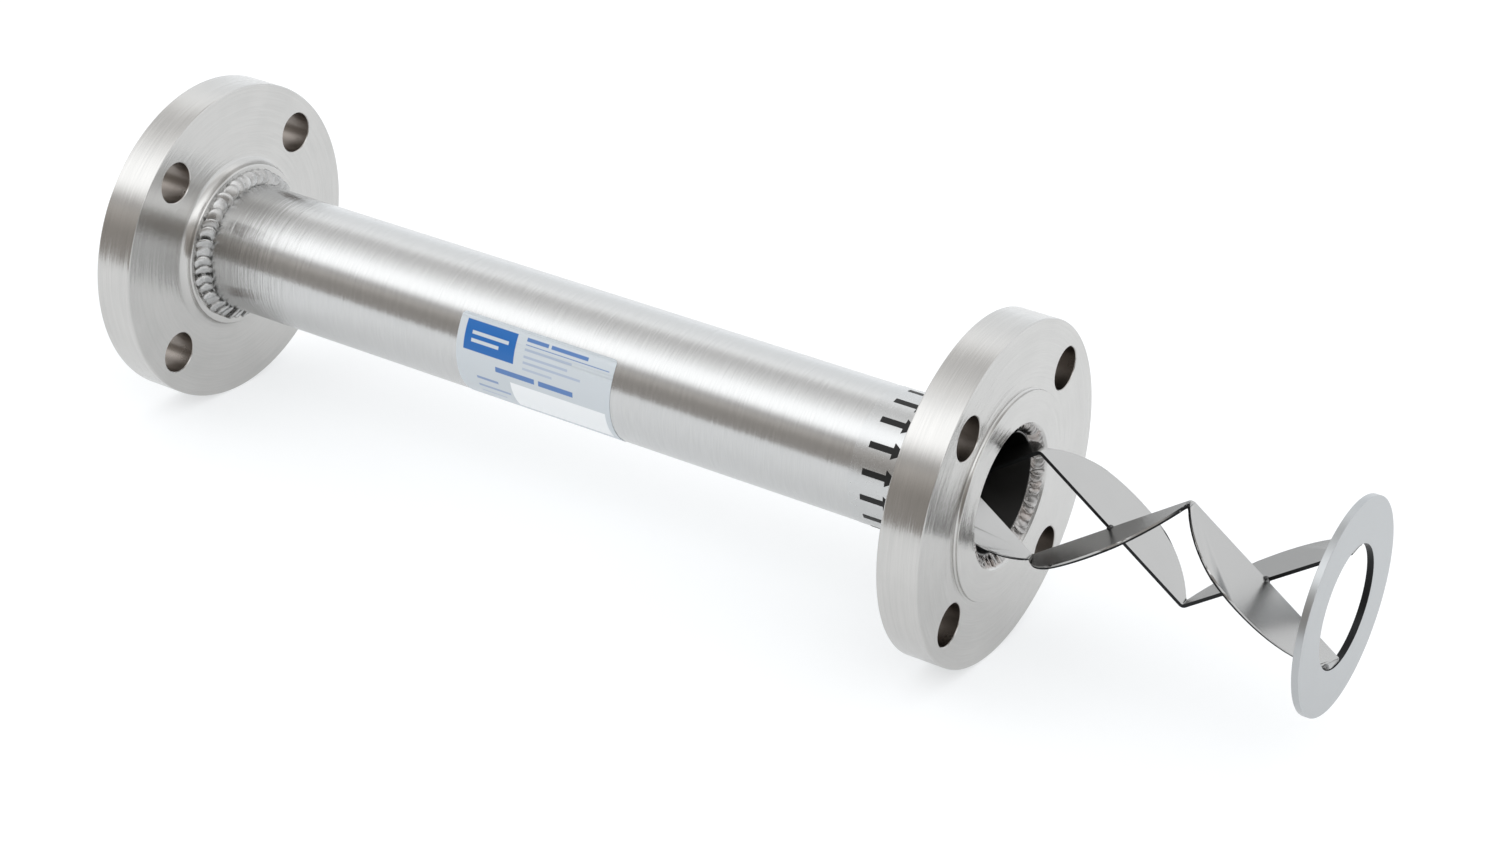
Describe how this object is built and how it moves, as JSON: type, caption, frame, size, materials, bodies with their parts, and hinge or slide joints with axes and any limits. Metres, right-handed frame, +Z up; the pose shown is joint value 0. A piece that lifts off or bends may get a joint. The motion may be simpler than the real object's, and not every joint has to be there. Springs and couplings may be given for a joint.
{
  "type": "static mixer",
  "caption": "Flanged stainless inline static mixer: a pipe spool with slip-on flanges and a folded blade mixing insert drawn part way out of the outlet.",
  "frame": {"origin": "centre of the inlet raised face, on the pipe axis", "axes": "+X along the pipe axis with the flow, from the inlet flange to the outlet flange; +Z up, with the bolt holes 45 degrees off the vertical; the label faces -Y"},
  "size_m": [0.584, 0.1524, 0.1524],
  "materials": {
    "pipe_steel": "fine brushing round the pipe",
    "flange_steel": "satin, turned",
    "weld_metal": "as welded, rippled",
    "ring_steel": "satin sheet",
    "blade_steel": "satin sheet, cut edges dark",
    "label_film": "silver grey polyester film with blue print",
    "clear_tape": "clear matte film over the pipe",
    "arrow_ink": "black print"
  },
  "bodies": {
    "root": {"arrow_tape": "clear_tape", "back_blade_strip": "blade_steel", "crossing_weld_1": "weld_metal", "crossing_weld_2": "weld_metal", "crossing_weld_3": "weld_metal", "crossing_weld_4": "weld_metal", "crossing_weld_5": "weld_metal", "crossing_weld_6": "weld_metal", "flow_arrows": "arrow_ink", "front_blade_strip": "blade_steel", "housing_pipe": "pipe_steel", "inlet_bore_weld": "weld_metal", "inlet_flange": "flange_steel", "inlet_hub_weld": "weld_metal", "label_sticker": "label_film", "outlet_bore_weld": "weld_metal", "outlet_flange": "flange_steel", "outlet_hub_weld": "weld_metal", "retaining_ring": "ring_steel", "ring_tack_bottom_inner": "weld_metal", "ring_tack_bottom_outer": "weld_metal", "ring_tack_top_inner": "weld_metal", "ring_tack_top_outer": "weld_metal"}
  },
  "joints": []
}
